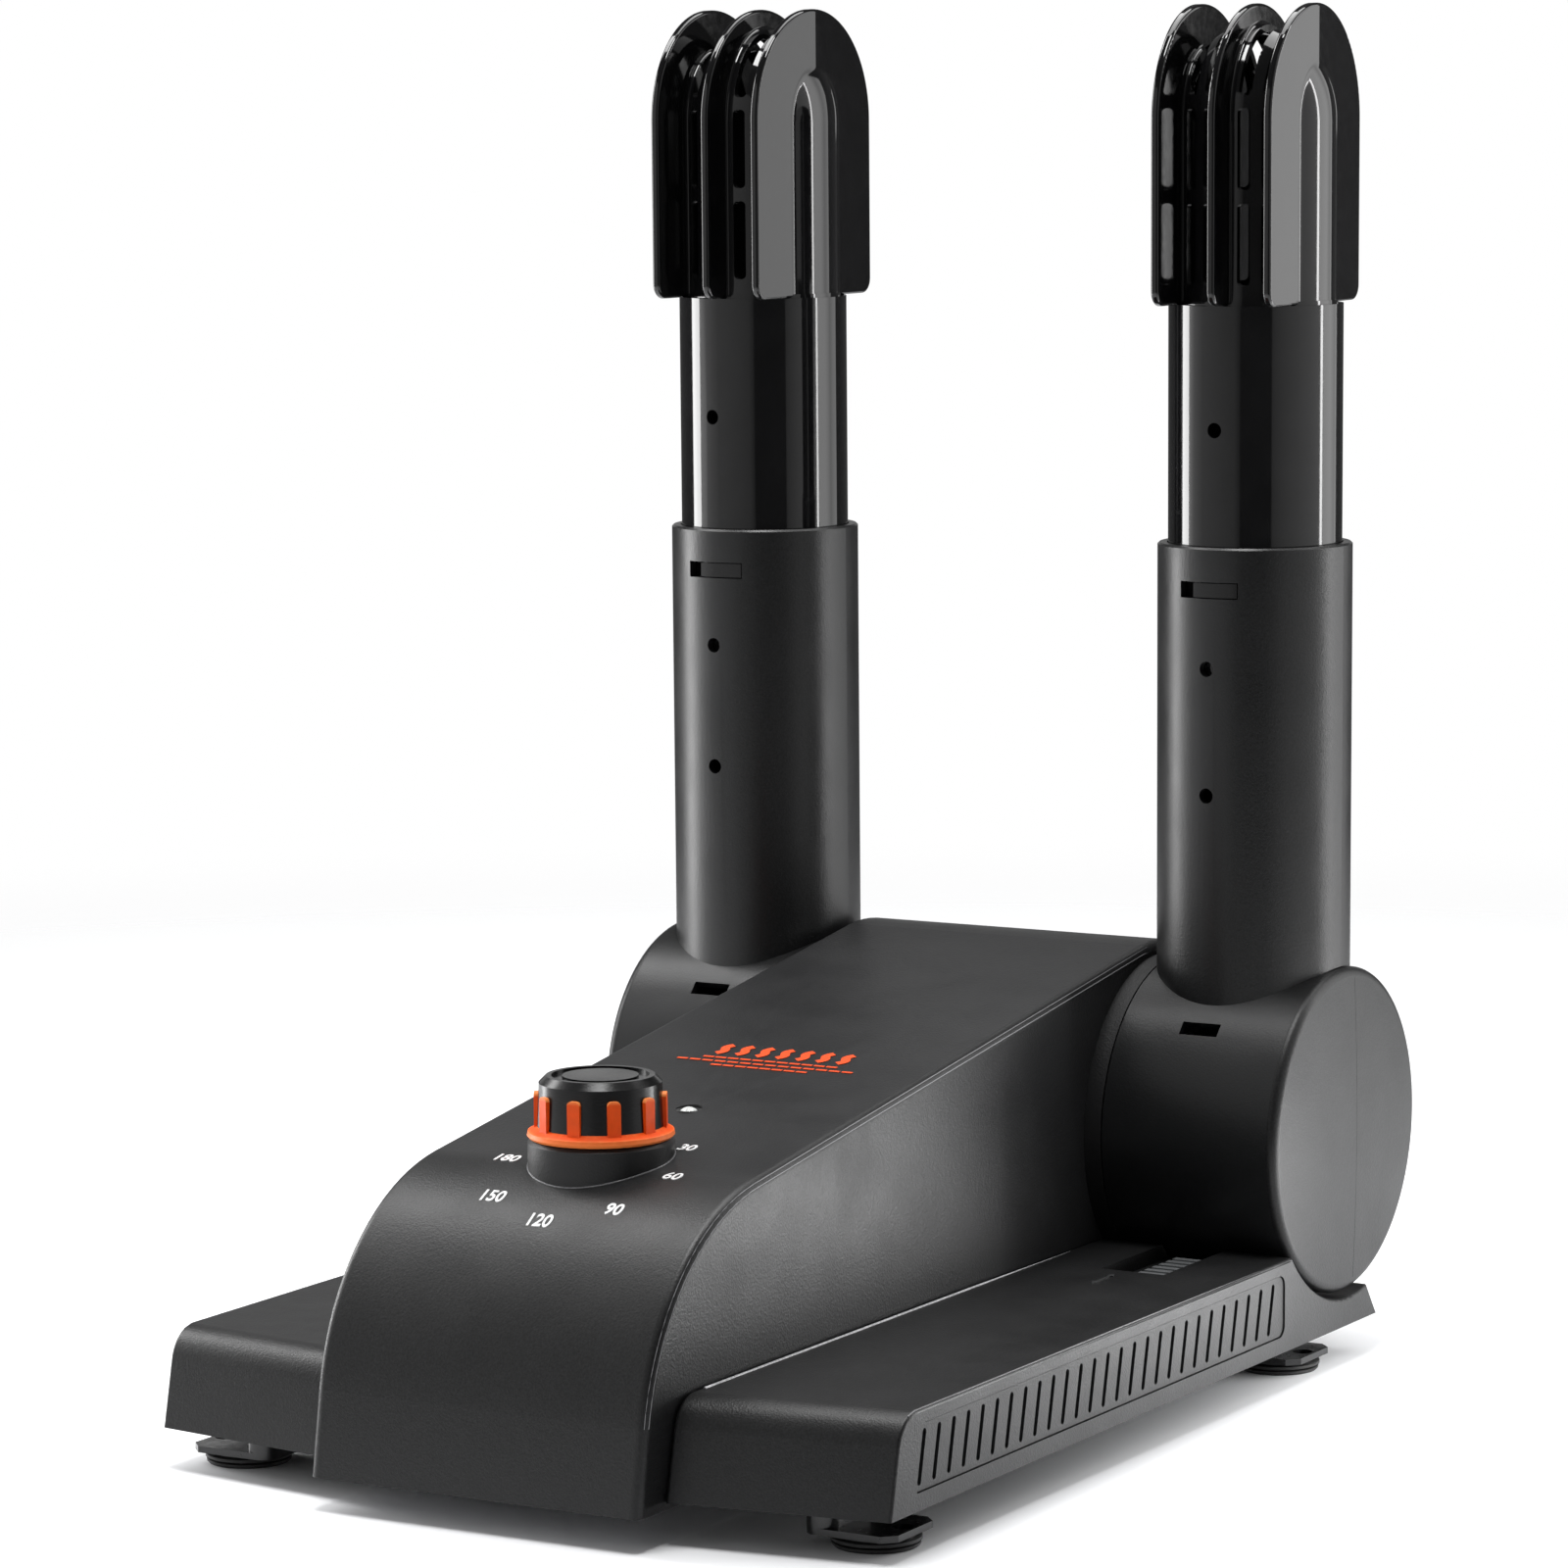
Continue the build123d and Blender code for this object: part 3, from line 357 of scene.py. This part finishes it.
# ---------------------------------------------------------------- surface details
def add_object(name, mesh, material, body):
    """A new piece with its material, riding on a body."""
    piece = bpy.data.objects.new(name, mesh)
    bpy.context.scene.collection.objects.link(piece)
    piece.data.materials.clear()
    piece.data.materials.append(material)
    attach(piece, body)
    return piece


def surface_of(node):
    """A ray-casting tree of one CAD node."""
    shape = bmesh.new()
    shape.from_mesh(nodes[node].data)
    tree = BVHTree.FromBMesh(shape)
    shape.free()
    return tree


def top_height(tree, x, y):
    """Height of the first surface met from above."""
    hit = tree.ray_cast(Vector((x, y, 1.0)), Vector((0, 0, -1)))
    return hit[0].z


INK = 0.0001


def lay_on(mesh, tree, lift=INK):
    """Moves a flat mesh drawn in X and Y down onto the surface under it, keeping its thickness."""
    for vertex in mesh.vertices:
        vertex.co.z = top_height(tree, vertex.co.x, vertex.co.y) + lift + vertex.co.z


def mesh_box(mesh):
    """Lowest and highest corner of a mesh."""
    corners = [vertex.co for vertex in mesh.vertices]
    low = Vector([min(corner[axis] for corner in corners) for axis in range(3)])
    high = Vector([max(corner[axis] for corner in corners) for axis in range(3)])
    return low, high


DIGIT_HEIGHT = 0.0039
DIGIT_NARROW = 0.84
DIGIT_BOLD = 0.0001
CAP_SHARE = 0.7                 # a capital's height against the font's size
DIAL = {
    "180": (-0.0225, -0.1006),
    "150": (-0.0155, -0.1178),
    "120": (0.0012, -0.1236),
    "90": (0.0181, -0.1181),
    "60": (0.0241, -0.1016),
    "30": (0.0162, -0.0819),
}


def text_mesh(text, height, place, stretch):
    """Digits of this cap height, stretched in X and Y, lying flat with their middle at the place."""
    curve = bpy.data.curves.new(f"digits_{text}", "FONT")
    curve.body = text
    curve.size = height / CAP_SHARE
    curve.extrude = INK
    curve.offset = DIGIT_BOLD
    carrier = bpy.data.objects.new("digits", curve)
    bpy.context.scene.collection.objects.link(carrier)
    bpy.context.view_layer.update()
    mesh = bpy.data.meshes.new_from_object(carrier)
    bpy.data.objects.remove(carrier)
    low, high = mesh_box(mesh)
    to_place = Matrix.Translation((*place, 0)) @ Matrix.Diagonal((*stretch, 1, 1))
    mesh.transform(to_place @ Matrix.Translation(-(low + high) / 2))
    return mesh


def make_digits(materials, roof):
    """Digits keep their height along the slope, so their Y extent shrinks where the roof is steep."""
    for text, place in DIAL.items():
        rise = top_height(roof, place[0], place[1] + DIGIT_HEIGHT) - top_height(roof, *place)
        foreshortening = 1 / math.hypot(1, rise / DIGIT_HEIGHT)
        mesh = text_mesh(text, DIGIT_HEIGHT, place, (DIGIT_NARROW, foreshortening))
        lay_on(mesh, roof)
        add_object(f"dial_{text}", mesh, materials["white_ink"], "base")


def ribbon(shape, points, width):
    """A flat strip of this width along points in X and Y."""
    rows = []
    for index, point in enumerate(points):
        before = points[max(index - 1, 0)]
        after = points[min(index + 1, len(points) - 1)]
        run = Vector((after[0] - before[0], after[1] - before[1], 0)).normalized()
        side = Vector((-run.y, run.x, 0)) * width / 2
        centre = Vector((point[0], point[1], 0))
        rows.append([shape.verts.new(centre + side), shape.verts.new(centre - side)])
    for first, second in zip(rows, rows[1:]):
        shape.faces.new((first[0], first[1], second[1], second[0]))


def thick_mesh(name, shape, thickness):
    """Gives flat faces a thickness and returns the closed mesh."""
    flat = list(shape.faces)
    made = bmesh.ops.extrude_face_region(shape, geom=flat)
    for item in made["geom"]:
        if isinstance(item, bmesh.types.BMVert):
            item.co.z += thickness
    bmesh.ops.recalc_face_normals(shape, faces=shape.faces)
    mesh = bpy.data.meshes.new(name)
    shape.to_mesh(mesh)
    shape.free()
    return mesh


WAVES = 7
WAVE_PITCH = 0.0058
WAVE_WIDTH = 0.0024
WAVE_FOOT = -0.0127
WAVE_TALL = 0.0068
WAVE_SWAY = 0.0008
WAVE_LEAN = 0.0012
WAVE_STEPS = 12
MARK_RULES = ((-0.0158, 0.0195), (-0.0186, 0.0255), (-0.0214, 0.014))   # Y and half length
DASH_PITCH = 0.0036
DASH_HALF = 0.0015
DASH_WIDTH = 0.0009


def make_warm_air_mark(materials, roof):
    """Generic mark on the roof: rising warm-air waves over three plain dashed rules."""
    shape = bmesh.new()
    for index in range(WAVES):
        x = (index - (WAVES - 1) / 2) * WAVE_PITCH
        points = []
        for step in range(WAVE_STEPS + 1):
            rise = step / WAVE_STEPS
            sway = WAVE_SWAY * math.sin(rise * 2 * math.pi)
            points.append((x + sway + WAVE_LEAN * rise, WAVE_FOOT + WAVE_TALL * rise))
        ribbon(shape, points, WAVE_WIDTH)
    for y, half in MARK_RULES:
        count = round(2 * half / DASH_PITCH)
        for index in range(count):
            x = -half + (index + 0.5) * 2 * half / count
            ribbon(shape, [(x - DASH_HALF, y), (x, y), (x + DASH_HALF, y)], DASH_WIDTH)
    mesh = thick_mesh("warm_air_mark", shape, INK)
    lay_on(mesh, roof)
    add_object("warm_air_mark", mesh, materials["orange_ink"], "base")


def sweep_mesh(name, rings):
    """Closed mesh through rings of the same number of points, capped at both ends."""
    shape = bmesh.new()
    rows = [[shape.verts.new(point) for point in ring] for ring in rings]
    for first, second in zip(rows, rows[1:]):
        for index in range(len(first)):
            after = (index + 1) % len(first)
            shape.faces.new((first[index], first[after], second[after], second[index]))
    shape.faces.new(rows[0])
    shape.faces.new(rows[-1])
    bmesh.ops.recalc_face_normals(shape, faces=shape.faces)
    mesh = bpy.data.meshes.new(name)
    shape.to_mesh(mesh)
    shape.free()
    return mesh


CAP_LINE = 0.00016              # half width
CAP_LINE_RISE = 0.00005
CAP_LINE_STEPS = 24
CAP_LINE_MARGIN = 0.003         # it stops this far short of the cap's rim
CAP_LINE_Y = 0.004              # behind the cap's middle


def make_cap_line(side, materials):
    """Hair-thin mould line that stands up the middle of a drum's cap."""
    cap = surface_of(f"barrel_cap_{side}")
    sign = SIDES[side]
    low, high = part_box(f"barrel_cap_{side}")
    line_y = (low.y + high.y) / 2 + CAP_LINE_Y
    height = high.z - low.z - 2 * CAP_LINE_MARGIN
    rings = []
    for step in range(CAP_LINE_STEPS + 1):
        z = low.z + CAP_LINE_MARGIN + height * step / CAP_LINE_STEPS
        ring = []
        for y, lift in ((-CAP_LINE, -INK), (0, CAP_LINE_RISE), (CAP_LINE, -INK)):
            hit = cap.ray_cast(Vector((sign, line_y + y, z)), Vector((-sign, 0, 0)))[0]
            ring.append((hit.x + sign * lift, hit.y, hit.z))
        rings.append(ring)
    mesh = sweep_mesh(f"cap_line_{side}", rings)
    add_object(f"cap_line_{side}", mesh, materials["drum"], f"{side}_tube")


EDGE_IN = (0.0001, 0.0008)      # how far in from the side the painted highlight band runs
EDGE_AIM = (-0.03, 0.02)        # Y and Z that the band's stations are measured round
EDGE_SWEEP = (176, 30)          # degrees round that point, from the front's foot to the roof
EDGE_STEPS = 96
EDGE_RISE = 0.00004
EDGE_OUTSIDE = 0.3              # far enough out to be clear of the housing


def make_housing_edge(side, materials):
    """Pale band along the housing's rounded edge: a painted highlight, brighter on the left side."""
    tree = surface_of("main_housing")
    half_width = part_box("main_housing")[1].x
    centre = Vector((0, *EDGE_AIM))
    section = [(inset, EDGE_RISE) for inset in EDGE_IN]
    section += [(inset, -EDGE_RISE) for inset in reversed(EDGE_IN)]
    rings = []
    for step in range(EDGE_STEPS + 1):
        angle = math.radians(EDGE_SWEEP[0] + (EDGE_SWEEP[1] - EDGE_SWEEP[0]) * step / EDGE_STEPS)
        out = Vector((0, math.cos(angle), math.sin(angle)))
        ring = []
        for inset, rise in section:
            across = Vector((SIDES[side] * (half_width - inset), 0, 0))
            start = centre + out * EDGE_OUTSIDE + across
            place, normal = tree.ray_cast(start, -out)[:2]
            ring.append(place + normal * rise)
        rings.append(ring)
    mesh = sweep_mesh(f"painted_highlight_band_{side}", rings)
    # Painted highlight: the left edge gets the brighter paint, the right edge a dimmer one.
    look = "painted_edge_highlight_bright" if side == "left" else "painted_edge_highlight"
    add_object(f"painted_highlight_band_{side}", mesh, materials[look], "base")


def make_bead(name, points, thickness, look, closed=False):
    """Fine moulded bead along these points: pairs of a place and a share of the thickness."""
    curve = bpy.data.curves.new(name, "CURVE")
    curve.dimensions = "3D"
    curve.bevel_depth = thickness / 2
    curve.bevel_resolution = 3
    curve.use_fill_caps = True
    spline = curve.splines.new("POLY")
    spline.use_cyclic_u = closed
    spline.points.add(len(points) - 1)
    for target, (place, share) in zip(spline.points, points):
        target.co = (*place, 1.0)
        target.radius = share
    carrier = bpy.data.objects.new(name, curve)
    bpy.context.scene.collection.objects.link(carrier)
    bpy.context.view_layer.update()
    mesh = bpy.data.meshes.new_from_object(carrier)
    bpy.data.objects.remove(carrier)
    mesh.polygons.foreach_set("use_smooth", [True] * len(mesh.polygons))
    add_object(name, mesh, look, "base")


LIP_RUN = (-0.126, 0.055)
LIP_FADE = 0.0                  # from this Y to the run's end the lip thins away, fading its painted highlight
LIP_END = 0.05                  # share of its thickness left at the end
LIP_STEPS = 60
INNER_LIP = (0.0009, 0.0007)    # how far in from the wing's edge, and its thickness
OUTER_LIP = (0.0005, 0.00035)


def make_wing_lips(side, materials):
    """Rolled lip along the top of a wing where it meets the housing, and a finer one outside, both pale to
    paint the edges' highlight.
    """
    tree = surface_of(f"wing_cover_{side}")
    low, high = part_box(f"wing_cover_{side}")
    inner, outer = sorted((abs(low.x), abs(high.x)))
    # Painted highlight: the inner lip in the bright pale material, the outer lip in the dimmer one.
    for place, reach, thickness, look in (
        ("inner", inner + INNER_LIP[0], INNER_LIP[1], "painted_edge_highlight_bright"),
        ("outer", outer - OUTER_LIP[0], OUTER_LIP[1], "painted_edge_highlight"),
    ):
        points = []
        for index in range(LIP_STEPS):
            x = SIDES[side] * reach
            y = LIP_RUN[0] + (LIP_RUN[1] - LIP_RUN[0]) * index / (LIP_STEPS - 1)
            share = min(1.0, (LIP_RUN[1] - y) / (LIP_RUN[1] - LIP_FADE) + LIP_END)
            points.append(((x, y, top_height(tree, x, y)), share))
        make_bead(f"wing_lip_{place}_{side}", points, thickness, materials[look])


COLLAR_BEAD = 0.0005            # thickness
COLLAR_BEAD_STEPS = 72


def make_collar_bead(roof, materials):
    """Fine bead where the timer's collar rises from the roof, pale to paint a highlight along the joint.
    """
    low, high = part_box("timer_collar")
    middle = (low + high) / 2
    radius = (high.x - low.x) / 2
    points = []
    for step in range(COLLAR_BEAD_STEPS):
        angle = 2 * math.pi * step / COLLAR_BEAD_STEPS
        x = middle.x + radius * math.cos(angle)
        y = middle.y + radius * math.sin(angle)
        points.append(((x, y, top_height(roof, x, y)), 1.0))
    make_bead("timer_collar_bead", points, COLLAR_BEAD, materials["painted_edge_highlight"], closed=True)


ARROW = [                       # a two-way arrow's outline in metres, along and across
    (-0.0062, 0.0), (-0.0036, 0.0019), (-0.0036, 0.0006), (0.0036, 0.0006), (0.0036, 0.0019),
    (0.0062, 0.0), (0.0036, -0.0019), (0.0036, -0.0006), (-0.0036, -0.0006), (-0.0036, -0.0019),
]
ARROW_SLIM = 0.55
ARROW_RISE = 0.00025
ARROW_X = 0.0706
ARROW_GAP = 0.012               # from the slide to the arrow's middle


def make_lock_arrow(side, materials):
    """Plain raised two-way arrow on the wing beside the lock's slide."""
    x = SIDES[side] * ARROW_X
    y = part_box(f"fold_lock_{side}")[0].y - ARROW_GAP
    shape = bmesh.new()
    corners = []
    for along, across in ARROW:
        corners.append(shape.verts.new((x + across * ARROW_SLIM, y + along, 0)))
    shape.faces.new(corners)
    mesh = thick_mesh(f"lock_arrow_{side}", shape, ARROW_RISE)
    lay_on(mesh, surface_of(f"wing_cover_{side}"), 0.0)
    add_object(f"lock_arrow_{side}", mesh, materials["raised"], "base")


FIN_HALF = 0.0292               # half of a fin's width
FIN_MIDDLE = 0.0153            # from the head's axis to the middle of each outer fin
CROWN = math.tan(math.radians(1.2))
HEAD_X = 0.073
HEAD_Y = 0.1076
HEAD_TURNS = {"left": math.radians(-0.9), "right": math.radians(2.6)}


def crown_fins(side, materials):
    """Copy of a head whose outer fins thicken towards the mould line down their middle."""
    cad = nodes[f"nozzle_head_{side}"]
    shape = bmesh.new()
    shape.from_mesh(cad.data)
    axis = Vector((SIDES[side] * HEAD_X, HEAD_Y, 0))
    to_head = Matrix.Rotation(-HEAD_TURNS[side], 4, "Z") @ Matrix.Translation(-axis)
    shape.transform(to_head)
    everything = list(shape.verts) + list(shape.edges) + list(shape.faces)
    bmesh.ops.bisect_plane(shape, geom=everything, plane_co=(0, 0, 0), plane_no=(0, 1, 0))
    for vertex in shape.verts:
        reach = abs(vertex.co.x)
        if reach > FIN_MIDDLE:
            rise = (FIN_HALF - abs(vertex.co.y)) * CROWN
            vertex.co.x += math.copysign(rise, vertex.co.x)
    shape.transform(to_head.inverted())
    mesh = bpy.data.meshes.new(f"crowned_head_{side}")
    shape.to_mesh(mesh)
    shape.free()
    head = add_object(f"crowned_head_{side}", mesh, materials["gloss"], f"{side}_head")
    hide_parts(cad.name)


NODE_LOOKS = {
    # The locks get the lightened material, which paints light onto them.
    "fold_lock_left": "lock",
    "fold_lock_right": "lock",
    "timer_collar": "timer_collar",
}


def finish_nodes(materials):
    """Every CAD node gets the material of its record slot, or a look of its own."""
    for entry in frame["record"]["subparts"]:
        node = nodes[entry["node"]]
        node.data.materials.clear()
        look = NODE_LOOKS.get(entry["node"], entry["material_slot"])
        node.data.materials.append(materials[look])


# ---------------------------------------------------------------- build
make_camera()
made_materials = make_materials()
make_stage()
finish_nodes(made_materials)
roof_surface = surface_of("main_housing")
make_digits(made_materials, roof_surface)
make_warm_air_mark(made_materials, roof_surface)
make_collar_bead(roof_surface, made_materials)
for side_name in SIDES:
    crown_fins(side_name, made_materials)
    make_cap_line(side_name, made_materials)
    make_lock_arrow(side_name, made_materials)
    make_housing_edge(side_name, made_materials)
    make_wing_lips(side_name, made_materials)
